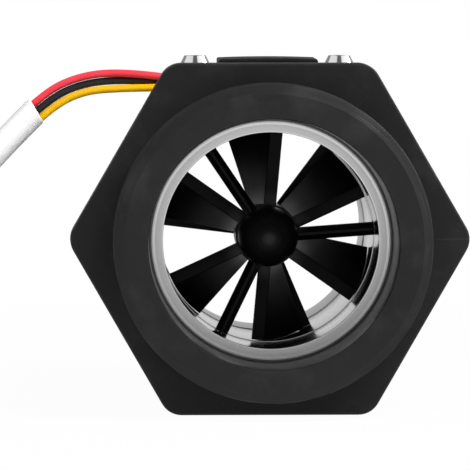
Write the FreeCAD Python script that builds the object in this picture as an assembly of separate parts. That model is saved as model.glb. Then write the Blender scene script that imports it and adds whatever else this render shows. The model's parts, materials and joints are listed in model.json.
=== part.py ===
"""Turbine flow meter for a two inch pipe: moulded hexagon body with a male thread at each end,
metal lined bore, helical rotor between two three-armed spiders, and a pulse sensor on top.

The flow runs along +Y. The inlet thread is at -Y and the sensor cover faces +Z.
The origin is on the surface that the meter stands on, under the middle of the body.
"""
import FreeCAD
import Part
import math
import os

Vector = FreeCAD.Vector

# Body: hexagon flange, barrel and the two threaded ends
body_length = 102.0
hexagon_across_flats = 66.5
hexagon_thickness = 6.5
hexagon_corner_radius = 4.3
hexagon_edge_round = 0.5
liner_length = 64.0
thread_radius = 29.807
thread_lead = 2.3
barrel_radius = 27.2
collar_radius = 30.5
collar_length = 6.0
spigot_bore_radius = 23.4
rib_width = 2.6
rib_height = 2.2
gusset_length = 13.0
gusset_height = 7.4
collar_slope = 1.0
rib_angles = (0, 180, 240, 300)

# Liner: three metal sleeves, with a lip on the two outer ones
bore_radius = 20.33
liner_wall = 1.27
lip_radius = 23.0
lip_thickness = 1.6
lip_edge_round = 0.3
lip_reach = 3.6
front_sleeve_length = 18.3
rear_sleeve_length = 17.3
sleeve_joint = 0.2
press_clearance = 0.05
seal_section = 1.5
seal_setback = 4.6
seal_groove_width = 1.9

# Rotor and what it turns in
rotor_setback = 21.35
rotor_length = 12.7
rotor_hub_radius = 6.0
rotor_tip_radius = 19.95
blade_count = 6
blade_thickness = 2.4
blade_twist = 23.5
blade_lead_angle = 24.7
blade_sections = 5
shaft_radius = 1.5
shaft_end_chamfer = 0.4
shaft_clearance = 0.05
bearing_radius = 3.0
bearing_length = 4.2
washer_radius = 2.7
washer_thickness = 0.6
washer_gap = 0.1
magnet_length = 4.5
magnet_height = 3.0
magnet_thickness = 1.1
magnet_setback = 0.35
magnet_clearance = 0.03

# Spiders
spider_hub_radius = 5.64
spider_hub_length = 10.2
spider_nose_length = 5.2
nose_flat_radius = 0.9
spider_gap = 0.4
arm_count = 3
arm_width = 2.45
arm_depth = 3.2
arm_bevel_depth = 1.7
arm_ridge_width = 0.5
front_arm_angle = 4.1
front_arm_setback = 1.3
rear_arm_angle = 53.0
rear_arm_setback = 3.0
pocket_clearance = 0.1

# Sensor box on top of the barrel, measured from the flow axis
box_length = 34.0
box_width = 18.8
box_corner_radius = 3.0
box_top = 30.9
box_wall = 2.0
cavity_floor = 23.4
cavity_corner_radius = 1.2
board_ledge = 1.4
board_thickness = 0.8
board_clearance = 0.2
gasket_thickness = 0.5
gasket_inset = 0.3
cover_inset = 0.2
cover_thickness = 1.2
dome_gap = 1.42
dome_width = 15.0
dome_end_height = 1.2
dome_crown = 0.2
dome_wall = 1.1
dome_edge_round = 0.4

# Cover screws and the inserts that they bite into
screw_end_inset = 3.25
screw_radius = 1.5
screw_length = 6.0
screw_head_radius = 2.93
screw_head_height = 1.8
screw_head_round = 0.8
screw_hole_clearance = 0.15
insert_radius = 2.1
insert_length = 5.0
insert_depth = 0.2
post_wall = 2.35
pilot_length = 1.0

# Pulse sensor and the other parts on the board
sensor_length = 4.1
sensor_width = 3.0
sensor_height = 1.5
sensor_floor_gap = 0.3
sensor_board_gap = 0.3
sensor_offset = 3.0
sensor_chamfer = 0.4
lead_width = 0.4
lead_pitch = 1.27
lead_reach = 0.9
chip_sizes = ((3.2, 1.6, 0.9), (2.0, 1.2, 0.6), (2.0, 1.2, 0.6), (2.4, 1.3, 1.1))
chip_places = ((4.6, -3.4), (4.6, 0.2), (4.6, 3.0), (-0.6, 3.2))

# Wires, grommet and cable
wire_radius = 0.7
jacket_radius = 2.6
jacket_mouth_radius = 2.2
jacket_mouth_depth = 6.0
grommet_radius = 2.2
grommet_flange_radius = 2.9
grommet_flange_thickness = 0.8
grommet_boss_radius = 2.3
grommet_boss_length = 0.8
grommet_boss_taper = 0.3
grommet_inside = 0.8
grommet_offset = 5.7
grommet_drop = 1.9
grommet_clearance = 0.4
lead_end_gap = 0.15
wire_clearance = 0.03
pad_insets = {"red": 5.1, "black": 3.5, "yellow": 2.1}
bundle_half_height = 0.95
bundle_front = 0.55
bundle_back = 0.65
mouth_run_in = 1.5

# Coil of spare cable on the floor and the plug inside it
coil_centre_x = -92.4
coil_centre_y = 30.1
coil_outer_turn = 31.0
coil_inner_turn = 25.7
coil_stub_end = (-6.0, 18.4)
coil_stub_length = 11.0
coil_stub_angle = 8.0
tail_spacing = 1.45
tail_end_run = 8.0
tail_bend = (9.4, 13.0)
tail_bend_spread = (2.3, 1.4)
plug_pitch = 2.5
plug_back = (9.0, -5.0)
plug_length = 10.5
plug_width = 9.8
plug_height = 5.75
plug_wall = 1.0
plug_recess = 6.5
plug_seat = 1.2
plug_edge_round = 0.4
terminal_width = 1.6
terminal_length = 5.6

# How far a piece runs into the one it is fused with, or a cut runs past a face
overlap = 1.0
# Share of the shorter run that each rounded corner of a cord takes
corner_share = 0.45

axis_height = hexagon_across_flats / 2
front_face = -liner_length / 2
rear_face = liner_length / 2
front_end = -body_length / 2
rear_end = body_length / 2
liner_front = front_face - lip_reach
rotor_centre = front_face + rotor_setback
liner_radius = bore_radius + liner_wall
body_bore_radius = liner_radius + press_clearance
box_front = front_face + hexagon_thickness
box_centre_y = box_front + box_width / 2
screw_spacing = box_length - 2 * screw_end_inset
cavity_length = screw_spacing - 2 * (insert_radius + post_wall)
cavity_width = box_width - 2 * box_wall
dome_length = screw_spacing - 2 * (screw_head_radius + dome_gap)
cover_seat = box_top + gasket_thickness
screw_seat = cover_seat + cover_thickness
grommet_y = box_centre_y + grommet_offset
grommet_height = box_top - grommet_drop
board_seat = cavity_floor + sensor_floor_gap + sensor_height + sensor_board_gap
channel_floor = grommet_height - grommet_radius - grommet_clearance
board_length = cavity_length - 2 * board_clearance
jacket_mouth = Vector(-44.4, grommet_y, axis_height + 23.3)
coil_centre = Vector(coil_centre_x, coil_centre_y, 0)


def in_body(x, y, z):
    """A point whose height is measured from the flow axis."""
    return Vector(x, y, axis_height + z)


def round_point(y, radius, angle):
    """A point at a radius and an angle about the flow axis."""
    turn = math.radians(angle)
    return in_body(radius * math.cos(turn), y, radius * math.sin(turn))


def turned_edges(edges):
    """Solid turned about the flow axis from a closed run of edges in the plane over it."""
    face = Part.Face(Part.Wire(edges))
    return face.revolve(in_body(0, 0, 0), Vector(0, 1, 0), 360)


def turned(profile):
    """Solid turned about the flow axis from (y, radius) corners."""
    corners = [in_body(0, y, radius) for y, radius in profile]
    return turned_edges(Part.makePolygon(corners + corners[:1]).Edges)


def flow_cylinder(radius, start, end):
    return Part.makeCylinder(radius, end - start, in_body(0, start, 0), Vector(0, 1, 0))


def flow_tube(outer, inner, start, end):
    return turned([(start, inner), (start, outer), (end, outer), (end, inner)])


def turn_about_flow(shape, angle):
    """A copy turned towards +Z from +X by an angle, about the flow axis."""
    copy = shape.copy()
    copy.rotate(in_body(0, 0, 0), Vector(0, -1, 0), angle)
    return copy


def rounded_plate(length, width, radius, bottom, top, centre=(0, 0)):
    """Upright plate with rounded corners, its heights measured from the flow axis."""
    corner = in_body(centre[0] - length / 2, centre[1] - width / 2, bottom)
    plate = Part.makeBox(length, width, top - bottom, corner)
    upright = [edge for edge in plate.Edges if abs(edge.BoundBox.ZLength - (top - bottom)) < 1e-6]
    return plate.makeFillet(radius, upright)


def upright_cylinder(radius, x, y, bottom, top):
    return Part.makeCylinder(radius, top - bottom, in_body(x, y, bottom))


def fused(shapes):
    return shapes[0].multiFuse(shapes[1:]).removeSplitter()


def route_path(points, name=None):
    """Straight runs joined by tangent arcs, each arc as large as its two runs allow."""
    edges = []
    radii = []
    start = points[0]
    for before, corner, after in zip(points, points[1:], points[2:]):
        incoming = corner - before
        outgoing = after - corner
        reach = corner_share * min(incoming.Length, outgoing.Length)
        half_turn = incoming.getAngle(outgoing) / 2
        radii.append(reach / math.tan(half_turn))
        incoming.normalize()
        outgoing.normalize()
        arc_start = corner - incoming * reach
        arc_end = corner + outgoing * reach
        inward = outgoing - incoming
        inward.normalize()
        to_middle = radii[-1] * (1 / math.cos(half_turn) - 1)
        edges.append(Part.LineSegment(start, arc_start).toShape())
        edges.append(Part.Arc(arc_start, corner + inward * to_middle, arc_end).toShape())
        start = arc_end
    edges.append(Part.LineSegment(start, points[-1]).toShape())
    if name:
        length = sum(edge.Length for edge in edges)
        print(name, "length", round(length, 1), "radii", [round(radius, 1) for radius in radii])
    return Part.Wire(edges)


def tube_along(points, radius, name=None):
    """Round tube along a route."""
    path = route_path(points, name)
    ring = Part.Wire(Part.makeCircle(radius, points[0], points[1] - points[0]))
    tube = path.makePipeShell([ring], True, False)
    if name:
        expected = math.pi * radius ** 2 * path.Length
        print(name, "volume against section times length", round(tube.Volume / expected, 4))
    return tube


def make_hexagon():
    corner_radius = hexagon_across_flats / 2 / math.cos(math.pi / 6)
    corners = [round_point(front_face, corner_radius, 60 * step) for step in range(7)]
    block = Part.Face(Part.makePolygon(corners)).extrude(Vector(0, hexagon_thickness, 0))
    long_edges = [edge for edge in block.Edges if abs(edge.BoundBox.YLength - hexagon_thickness) < 1e-6]
    block = block.makeFillet(hexagon_corner_radius, long_edges)
    rim = [edge for edge in block.Edges if edge.BoundBox.YLength < 1e-6]
    return block.makeFillet(hexagon_edge_round, rim)


def make_ribs():
    """A gusset behind the hexagon that runs on as a low rib to the rear collar."""
    rib_top = barrel_radius + rib_height
    root = barrel_radius - overlap
    start = front_face + hexagon_thickness / 2
    end = rear_face - collar_length / 2
    outline = [(start, root), (start, rib_top + gusset_height),
               (box_front + overlap, rib_top + gusset_height),
               (box_front + gusset_length, rib_top), (end, rib_top), (end, root)]
    corners = [Vector(radius, y, axis_height - rib_width / 2) for y, radius in outline]
    rib = Part.Face(Part.makePolygon(corners + corners[:1])).extrude(Vector(0, 0, rib_width))
    return [turn_about_flow(rib, angle) for angle in rib_angles]


def make_body():
    lead_radius = thread_radius - thread_lead
    outside = turned([
        (front_end, 0), (front_end, lead_radius), (front_end + thread_lead, thread_radius),
        (front_face + hexagon_thickness / 2, thread_radius),
        (front_face + hexagon_thickness, barrel_radius),
        (rear_face - collar_length - collar_slope, barrel_radius),
        (rear_face - collar_length, collar_radius),
        (rear_face, collar_radius), (rear_face, thread_radius),
        (rear_end - thread_lead, thread_radius), (rear_end, lead_radius), (rear_end, 0)])
    lip_seat = lip_radius + press_clearance
    waterway = turned([
        (front_end, 0), (front_end, spigot_bore_radius), (liner_front, lip_seat),
        (liner_front + lip_thickness, lip_seat), (liner_front + lip_thickness, body_bore_radius),
        (rear_face - lip_thickness, body_bore_radius), (rear_face - lip_thickness, lip_seat),
        (rear_face, lip_seat), (rear_end, spigot_bore_radius), (rear_end, 0)])
    box = rounded_plate(box_length, box_width, box_corner_radius, 0, box_top, (0, box_centre_y))
    bridge = Part.makeBox(box_length, box_corner_radius + overlap, box_top,
                          in_body(-box_length / 2, box_front - overlap, 0))
    body = fused([outside, make_hexagon(), box, bridge] + make_ribs())
    cuts = [waterway]
    for seal_y in seal_places():
        start = seal_y - seal_groove_width / 2
        end = seal_y + seal_groove_width / 2
        cuts.append(flow_tube(liner_radius + seal_section, bore_radius, start, end))
    cuts += box_openings()
    for tool in cuts:
        body = body.cut(tool)
    return body.removeSplitter()


def seal_places():
    return (front_face + seal_setback, rear_face - seal_setback)


def box_openings():
    """Cavity, board ledge, wire channel, grommet notch and screw holes of the sensor box."""
    centre = (0, box_centre_y)
    cavity = rounded_plate(cavity_length, cavity_width, cavity_corner_radius,
                           board_seat, box_top, centre)
    well = rounded_plate(cavity_length - 2 * board_ledge, cavity_width, cavity_corner_radius,
                         cavity_floor, board_seat, centre)
    channel_end = -box_length / 2 + box_wall
    channel = Part.makeBox(-cavity_length / 2 - channel_end + overlap, 2 * grommet_radius,
                           box_top - channel_floor,
                           in_body(channel_end, grommet_y - grommet_radius, channel_floor))
    notch = grommet_outline(grommet_radius, -box_length / 2 - overlap, box_wall + 2 * overlap)
    holes = []
    for x in screw_places():
        insert_top = box_top - insert_depth
        holes.append(upright_cylinder(insert_radius, x, box_centre_y,
                                      insert_top - insert_length, box_top))
        holes.append(upright_cylinder(screw_radius + screw_hole_clearance, x, box_centre_y,
                                      screw_seat - screw_length - pilot_length, box_top))
    return [cavity, well, channel, notch] + holes


def screw_places():
    return (-screw_spacing / 2, screw_spacing / 2)


def grommet_outline(radius, start, length):
    """Upright slot with a round foot, closed level with the top of the box."""
    foot = Part.makeCylinder(radius, length, in_body(start, grommet_y, grommet_height),
                             Vector(1, 0, 0))
    slot = Part.makeBox(length, 2 * radius, box_top - grommet_height,
                        in_body(start, grommet_y - radius, grommet_height))
    below_top = Part.makeBox(length, 4 * radius, 4 * radius,
                             in_body(start, grommet_y - 2 * radius, box_top - 4 * radius))
    return foot.fuse(slot).common(below_top).removeSplitter()


def make_liner(start, end, lip_side):
    """Sleeve of the bore, with a lip at its start (-1), at its end (1) or none (0)."""
    if lip_side == 0:
        return flow_tube(liner_radius, bore_radius, start, end)
    lip_face = start if lip_side < 0 else end
    plain_end = end if lip_side < 0 else start
    inward = -lip_side
    edge = lip_edge_round
    profile = [(lip_face, bore_radius + edge), (lip_face, lip_radius - edge),
               (lip_face + inward * edge, lip_radius),
               (lip_face + inward * lip_thickness, lip_radius),
               (lip_face + inward * lip_thickness, liner_radius), (plain_end, liner_radius),
               (plain_end, bore_radius), (lip_face + inward * edge, bore_radius)]
    return turned(profile)


def make_liners():
    first_joint = liner_front + front_sleeve_length
    second_joint = rear_face - rear_sleeve_length
    half_joint = sleeve_joint / 2
    return {
        "front_liner": make_liner(liner_front, first_joint - half_joint, -1),
        "centre_liner": make_liner(first_joint + half_joint, second_joint - half_joint, 0),
        "rear_liner": make_liner(second_joint + half_joint, rear_face, 1),
    }


def make_seals():
    ring_radius = liner_radius + seal_section / 2
    rings = [Part.makeTorus(ring_radius, seal_section / 2, in_body(0, y, 0), Vector(0, 1, 0))
             for y in seal_places()]
    return Part.makeCompound(rings)


def rotor_end(side):
    """Face of the rotor towards the inlet (-1) or the outlet (1)."""
    return rotor_centre + side * rotor_length / 2


def make_blade():
    """One helical blade whose front edge lies along +X before it is turned to its place."""
    inner = rotor_hub_radius - overlap
    outer = rotor_tip_radius + overlap
    half = blade_thickness / 2
    sections = []
    for step in range(blade_sections):
        share = step / (blade_sections - 1)
        y = rotor_end(-1) + share * rotor_length
        corners = [in_body(x, y, z) for x, z in ((inner, -half), (outer, -half),
                                                 (outer, half), (inner, half))]
        wire = Part.makePolygon(corners + corners[:1])
        sections.append(turn_about_flow(wire, share * blade_twist))
    return Part.makeLoft(sections, True, False)


def blade_angles():
    return [blade_lead_angle + 360 / blade_count * number for number in range(blade_count)]


def make_magnet(clearance):
    """Bar set in a blade tip, in line with the blade where it crosses its middle."""
    middle_radius = rotor_tip_radius - magnet_setback - magnet_height / 2
    pitch_angle = math.degrees(math.atan(math.radians(blade_twist) * middle_radius / rotor_length))
    grown = 2 * clearance
    corner = in_body(middle_radius - magnet_height / 2 - clearance,
                     rotor_centre - magnet_length / 2 - clearance,
                     -magnet_thickness / 2 - clearance)
    bar = Part.makeBox(magnet_height + grown, magnet_length + grown,
                       magnet_thickness + grown, corner)
    bar.rotate(in_body(0, rotor_centre, 0), Vector(1, 0, 0), pitch_angle)
    return turn_about_flow(bar, blade_twist / 2)


def make_magnets(clearance=0.0):
    first = blade_angles()[0]
    return [turn_about_flow(make_magnet(clearance), first + side) for side in (0, 180)]


def make_rotor():
    front = rotor_end(-1)
    rear = rotor_end(1)
    hub = flow_cylinder(rotor_hub_radius, front, rear)
    blade = make_blade()
    wheel = fused([hub] + [turn_about_flow(blade, angle) for angle in blade_angles()])
    wheel = wheel.common(flow_cylinder(rotor_tip_radius, front, rear))
    wheel = wheel.cut(flow_cylinder(shaft_radius, front - overlap, rear + overlap))
    for pocket in make_magnets(magnet_clearance):
        wheel = wheel.cut(pocket)
    return wheel


def hub_base(side):
    """Face of a spider hub that looks at the rotor."""
    return rotor_end(side) + side * spider_gap


def bearing_start(side):
    return rotor_end(side) + side * (washer_thickness + washer_gap)


def make_shaft():
    reach = washer_thickness + washer_gap + bearing_length - pocket_clearance
    shaft = flow_cylinder(shaft_radius, rotor_end(-1) - reach, rotor_end(1) + reach)
    ends = [edge for edge in shaft.Edges if edge.BoundBox.YLength < 1e-6]
    return shaft.makeChamfer(shaft_end_chamfer, ends)


def make_bearing(side):
    start = bearing_start(side)
    end = start + side * bearing_length
    return flow_tube(bearing_radius, shaft_radius + shaft_clearance, min(start, end), max(start, end))


def make_washers():
    washers = []
    for side in (-1, 1):
        start = rotor_end(side)
        end = start + side * washer_thickness
        washers.append(flow_tube(washer_radius, shaft_radius, min(start, end), max(start, end)))
    return Part.makeCompound(washers)


def make_spider(side, first_angle, arm_setback):
    """Bullet hub on three arms. Side is -1 ahead of the rotor and 1 behind it."""
    base = hub_base(side)
    tip = base + side * spider_hub_length
    near = base + side * arm_setback
    pieces = [make_hub(base, tip, side)]
    for step in range(arm_count):
        arm = make_arm(near, near + side * arm_depth, side * arm_bevel_depth)
        pieces.append(turn_about_flow(arm, first_angle + 360 / arm_count * step))
    low = min(tip, base) - overlap
    high = max(tip, base) + overlap
    spider = fused(pieces).common(flow_cylinder(bore_radius - press_clearance, low, high))
    pocket_end = bearing_start(side) + side * (bearing_length + pocket_clearance)
    pocket = flow_cylinder(bearing_radius + press_clearance / 2,
                           min(base, pocket_end), max(base, pocket_end))
    return spider.cut(pocket)


def make_hub(base, tip, side):
    """Round bar with a domed nose that ends in a small flat."""
    shoulder = tip - side * spider_nose_length
    outline = [in_body(0, tip, nose_flat_radius), in_body(0, tip, 0), in_body(0, base, 0),
               in_body(0, base, spider_hub_radius), in_body(0, shoulder, spider_hub_radius)]
    edges = Part.makePolygon(outline).Edges
    fall = spider_hub_radius - nose_flat_radius
    dome_radius = (spider_nose_length ** 2 + fall ** 2) / 2 / fall
    half_turn = math.asin(spider_nose_length / dome_radius) / 2
    nose_middle = in_body(0, shoulder + side * dome_radius * math.sin(half_turn),
                          spider_hub_radius - dome_radius * (1 - math.cos(half_turn)))
    edges.append(Part.Arc(outline[-1], nose_middle, outline[0]).toShape())
    return turned_edges(edges)


def make_arm(near, far, bevel):
    """Radial bar along +X with a roof shape on the side away from the rotor."""
    half = arm_width / 2
    ridge = arm_ridge_width / 2
    outline = [(near, -half), (near, half), (far - bevel, half), (far, ridge),
               (far, -ridge), (far - bevel, -half)]
    corners = [in_body(0, y, z) for y, z in outline]
    return Part.Face(Part.makePolygon(corners + corners[:1])).extrude(Vector(bore_radius, 0, 0))


def make_cover():
    """Plate with a crowned raised middle that is hollow below."""
    centre = (0, box_centre_y)
    plate = rounded_plate(box_length - 2 * cover_inset, box_width - 2 * cover_inset,
                          box_corner_radius, cover_seat, screw_seat, centre)
    half = dome_length / 2
    low = screw_seat - cover_thickness / 2
    end_height = screw_seat + dome_end_height
    y = box_centre_y - dome_width / 2
    corners = [in_body(half, y, end_height), in_body(half, y, low), in_body(-half, y, low),
               in_body(-half, y, end_height)]
    edges = Part.makePolygon(corners).Edges
    crown = in_body(0, y, end_height + dome_crown)
    edges.append(Part.Arc(corners[-1], crown, corners[0]).toShape())
    dome = Part.Face(Part.Wire(edges)).extrude(Vector(0, dome_width, 0))
    top_edges = [edge for edge in dome.Edges if edge.BoundBox.ZMin > axis_height + end_height - 1e-6]
    dome = dome.makeFillet(dome_edge_round, top_edges)
    cover = fused([plate, dome])
    hollow = rounded_plate(dome_length - 2 * dome_wall, dome_width - 2 * dome_wall,
                           cavity_corner_radius, cover_seat, end_height - dome_wall, centre)
    cover = cover.cut(hollow)
    for x in screw_places():
        cover = cover.cut(upright_cylinder(screw_radius + screw_hole_clearance, x, box_centre_y,
                                           cover_seat, screw_seat))
    return cover


def make_gasket():
    gasket = rounded_plate(box_length - 2 * gasket_inset, box_width - 2 * gasket_inset,
                           box_corner_radius, box_top, cover_seat, (0, box_centre_y))
    window = rounded_plate(cavity_length, cavity_width, cavity_corner_radius,
                           box_top, cover_seat, (0, box_centre_y))
    gasket = gasket.cut(window)
    for x in screw_places():
        gasket = gasket.cut(upright_cylinder(screw_radius + screw_hole_clearance, x, box_centre_y,
                                             box_top, cover_seat))
    return gasket


def make_screws():
    screws = []
    for x in screw_places():
        head = upright_cylinder(screw_head_radius, x, box_centre_y,
                                screw_seat, screw_seat + screw_head_height)
        top_edge = [edge for edge in head.Edges if edge.BoundBox.ZMin > axis_height + screw_seat + 1e-6]
        head = head.makeFillet(screw_head_round, top_edge)
        shank = upright_cylinder(screw_radius, x, box_centre_y, screw_seat - screw_length, screw_seat)
        screws.append(head.fuse(shank))
    return Part.makeCompound(screws)


def make_inserts():
    top = box_top - insert_depth
    inserts = []
    for x in screw_places():
        insert = upright_cylinder(insert_radius, x, box_centre_y, top - insert_length, top)
        inserts.append(insert.cut(upright_cylinder(screw_radius, x, box_centre_y,
                                                   top - insert_length, top)))
    return Part.makeCompound(inserts)


def make_board():
    return rounded_plate(board_length, cavity_width - 2 * board_clearance,
                         cavity_corner_radius, board_seat, board_seat + board_thickness,
                         (0, box_centre_y))


def make_hall_sensor():
    """Flat sensor over the bore, hung from the board by its three legs."""
    bottom = cavity_floor + sensor_floor_gap
    front = box_centre_y + sensor_offset - sensor_width / 2
    case = Part.makeBox(sensor_length, sensor_width, sensor_height,
                        in_body(-sensor_length / 2, front, bottom))
    low_edges = [edge for edge in case.Edges if edge.BoundBox.ZMax < axis_height + bottom + 1e-6
                 and edge.BoundBox.YLength < 1e-6]
    case = case.makeChamfer(sensor_chamfer, low_edges)
    pieces = [case]
    leg_y = front + sensor_width
    leg_z = bottom + sensor_height / 2
    for step in (-1, 0, 1):
        x = step * lead_pitch - lead_width / 2
        pieces.append(Part.makeBox(lead_width, lead_reach + overlap, lead_width,
                                   in_body(x, leg_y - overlap, leg_z)))
        pieces.append(Part.makeBox(lead_width, lead_width, board_seat - leg_z,
                                   in_body(x, leg_y + lead_reach - lead_width, leg_z)))
    return fused(pieces)


def make_board_parts():
    parts = []
    top = board_seat + board_thickness
    for (length, width, height), (x, y) in zip(chip_sizes, chip_places):
        corner = in_body(x - length / 2, box_centre_y + y - width / 2, top)
        parts.append(Part.makeBox(length, width, height, corner))
    return Part.makeCompound(parts)


def wire_places():
    """Where each wire leaves the grommet: (distance along the flow, height over the axis)."""
    return {
        "red": (grommet_y - bundle_front, grommet_height + bundle_half_height),
        "black": (grommet_y + bundle_back, grommet_height),
        "yellow": (grommet_y - bundle_front, grommet_height - bundle_half_height),
    }


def grommet_face():
    return -box_length / 2 - grommet_flange_thickness - grommet_boss_length


def make_grommet():
    wall_face = -box_length / 2
    neck = grommet_outline(grommet_radius - press_clearance, wall_face,
                           box_wall + grommet_inside)
    flange_start = wall_face - grommet_flange_thickness
    flange = Part.makeCylinder(grommet_flange_radius, grommet_flange_thickness,
                               in_body(flange_start, grommet_y, grommet_height), Vector(1, 0, 0))
    boss = Part.makeCone(grommet_boss_radius - grommet_boss_taper, grommet_boss_radius,
                         grommet_boss_length,
                         in_body(grommet_face(), grommet_y, grommet_height), Vector(1, 0, 0))
    grommet = fused([neck, flange, boss])
    for y, z in wire_places().values():
        hole = Part.makeCylinder(wire_radius + wire_clearance, box_length,
                                 in_body(grommet_face() - overlap, y, z), Vector(1, 0, 0))
        grommet = grommet.cut(hole)
    return grommet


def make_inner_leads():
    """The three leads inside the box, from the board through the grommet."""
    board_top = board_seat + board_thickness
    leads = []
    for colour, (y, z) in wire_places().items():
        pad_x = pad_insets[colour] - board_length / 2
        points = [in_body(pad_x, y, board_top), in_body(pad_x, y, z),
                  in_body(grommet_face() + lead_end_gap, y, z)]
        leads.append(tube_along(points, wire_radius))
    return Part.makeCompound(leads)


def wire_points(colour, across, second, third):
    """Route of one wire from the grommet to the bottom of the jacket's mouth."""
    y, z = wire_places()[colour]
    down = Vector(-1, 0, -1).normalize()
    mouth = jacket_mouth + Vector(-1, 0, 1).normalize() * across
    return [in_body(grommet_face(), y, z), in_body(second[0], grommet_y + second[1], second[2]),
            in_body(third[0], grommet_y + third[1], third[2]), mouth - down * mouth_run_in,
            mouth + down * jacket_mouth_depth]


def make_wires():
    routes = {
        "wire_red": wire_points("red", 1.45, (-28.4, -0.3, 31.3), (-37.9, -0.1, 29.7)),
        "wire_black": wire_points("black", 0.0, (-27.6, 0.4, 29.7), (-36.8, 0.1, 28.5)),
        "wire_yellow": wire_points("yellow", -1.45, (-27.2, -0.3, 28.0), (-35.7, -0.1, 27.3)),
    }
    return {name: tube_along(points, wire_radius, name) for name, points in routes.items()}


def make_jacket():
    """Cable from its open mouth down to the floor and into the coil."""
    points = [
        jacket_mouth,
        Vector(-53.3, grommet_y, 47.65),
        Vector(-64.2, grommet_y, 34.6),
        Vector(-75.0, -10.0, 20.3),
        Vector(-85.4, -8.9, 10.9),
        Vector(-96.3, -5.5, 5.0),
        Vector(-106.5, 0.4, jacket_radius),
        Vector(-114.3, 8.2, jacket_radius),
    ]
    jacket = tube_along(points, jacket_radius, "cable_jacket")
    inward = points[1] - points[0]
    mouth = Part.makeCylinder(jacket_mouth_radius, jacket_mouth_depth, points[0], inward)
    return jacket.cut(mouth)


def stub_direction():
    turn = math.radians(-coil_stub_angle)
    return Vector(math.cos(turn), math.sin(turn), 0)


def stub_end():
    return coil_centre + Vector(coil_stub_end[0], coil_stub_end[1], jacket_radius)


def make_coil():
    """Outer shape of the flat coil, with the end of the cable coming off its inside."""
    side = coil_centre + Vector(coil_inner_turn, 0, jacket_radius)
    width = coil_outer_turn - coil_inner_turn
    inner_top = side + Vector(0, 0, jacket_radius)
    inner_foot = side - Vector(0, 0, jacket_radius)
    across = Vector(width, 0, 0)
    edges = [
        Part.Arc(inner_foot, side - Vector(jacket_radius, 0, 0), inner_top).toShape(),
        Part.LineSegment(inner_top, inner_top + across).toShape(),
        Part.Arc(inner_top + across, side + across + Vector(jacket_radius, 0, 0),
                 inner_foot + across).toShape(),
        Part.LineSegment(inner_foot + across, inner_foot).toShape(),
    ]
    ring = Part.Face(Part.Wire(edges)).revolve(coil_centre, Vector(0, 0, 1), 360)
    start = stub_end() - stub_direction() * coil_stub_length
    stub = Part.makeCylinder(jacket_radius, coil_stub_length, start, stub_direction())
    return ring.fuse(stub).removeSplitter()


def plug_back_centre():
    return coil_centre + Vector(plug_back[0], plug_back[1], plug_height / 2)


def make_tails():
    """Three wires from the end of the cable to the plug, inside the coil."""
    across_cable = Vector(-stub_direction().y, stub_direction().x, 0)
    into_plug = plug_back_centre() - Vector(0, plug_seat, 0)
    bends = {"tail_red": 1, "tail_black": 0, "tail_yellow": -1}
    tails = {}
    for name, place in bends.items():
        start = stub_end() + across_cable * tail_spacing * place
        end = into_plug + Vector(plug_pitch * place, 0, 0)
        bend = Vector(tail_bend[0] + tail_bend_spread[0] * place,
                      tail_bend[1] + tail_bend_spread[1] * place,
                      (start.z + end.z) / 2)
        points = [start, start + stub_direction() * tail_end_run, coil_centre + bend,
                  end + Vector(0, tail_end_run, 0), end]
        tails[name] = tube_along(points, wire_radius, name)
    return tails


def make_plug():
    """Three-way housing, open at its front, with the wires let in at its back."""
    back = plug_back_centre()
    corner = back - Vector(plug_width / 2, plug_length, plug_height / 2)
    housing = Part.makeBox(plug_width, plug_length, plug_height, corner)
    long_edges = [edge for edge in housing.Edges if edge.BoundBox.YLength > plug_length / 2]
    housing = housing.makeFillet(plug_edge_round, long_edges)
    opening = Part.makeBox(plug_width - 2 * plug_wall, plug_recess, plug_height - 2 * plug_wall,
                           corner + Vector(plug_wall, 0, plug_wall))
    housing = housing.cut(opening)
    for place in (-1, 0, 1):
        entry = back + Vector(plug_pitch * place, -plug_seat, 0)
        hole = Part.makeCylinder(wire_radius + wire_clearance, plug_seat, entry, Vector(0, 1, 0))
        housing = housing.cut(hole)
    return housing


def make_terminals():
    start = plug_back_centre() - Vector(terminal_width / 2, plug_length - plug_recess + terminal_length,
                                        terminal_width / 2)
    blades = [Part.makeBox(terminal_width, terminal_length, terminal_width,
                           start + Vector(plug_pitch * place, 0, 0)) for place in (-1, 0, 1)]
    return Part.makeCompound(blades)


def make_nodes():
    nodes = {"body": make_body()}
    nodes.update(make_liners())
    nodes["liner_seals"] = make_seals()
    nodes["front_spider"] = make_spider(-1, front_arm_angle, front_arm_setback)
    nodes["rear_spider"] = make_spider(1, rear_arm_angle, rear_arm_setback)
    nodes["front_bearing"] = make_bearing(-1)
    nodes["rear_bearing"] = make_bearing(1)
    nodes["rotor"] = make_rotor()
    nodes["rotor_shaft"] = make_shaft()
    nodes["rotor_magnets"] = Part.makeCompound(make_magnets())
    nodes["thrust_washers"] = make_washers()
    nodes["sensor_cover"] = make_cover()
    nodes["cover_gasket"] = make_gasket()
    nodes["cover_screws"] = make_screws()
    nodes["screw_inserts"] = make_inserts()
    nodes["circuit_board"] = make_board()
    nodes["hall_sensor"] = make_hall_sensor()
    nodes["board_parts"] = make_board_parts()
    nodes["inner_leads"] = make_inner_leads()
    nodes["wire_grommet"] = make_grommet()
    nodes.update(make_wires())
    nodes["cable_jacket"] = make_jacket()
    nodes["cable_coil"] = make_coil()
    nodes.update(make_tails())
    nodes["plug_housing"] = make_plug()
    nodes["plug_terminals"] = make_terminals()
    return nodes


os.makedirs("parts", exist_ok=True)
for node_name, shape in make_nodes().items():
    if not shape.isValid():
        print("not valid:", node_name)
    shape.exportStep(os.path.join("parts", node_name + ".step"))
    print(node_name, len(shape.Solids), "solids", round(shape.Volume, 1), "mm3")
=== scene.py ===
import bmesh
import bpy
import json
import math
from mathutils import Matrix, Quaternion, Vector


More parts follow.
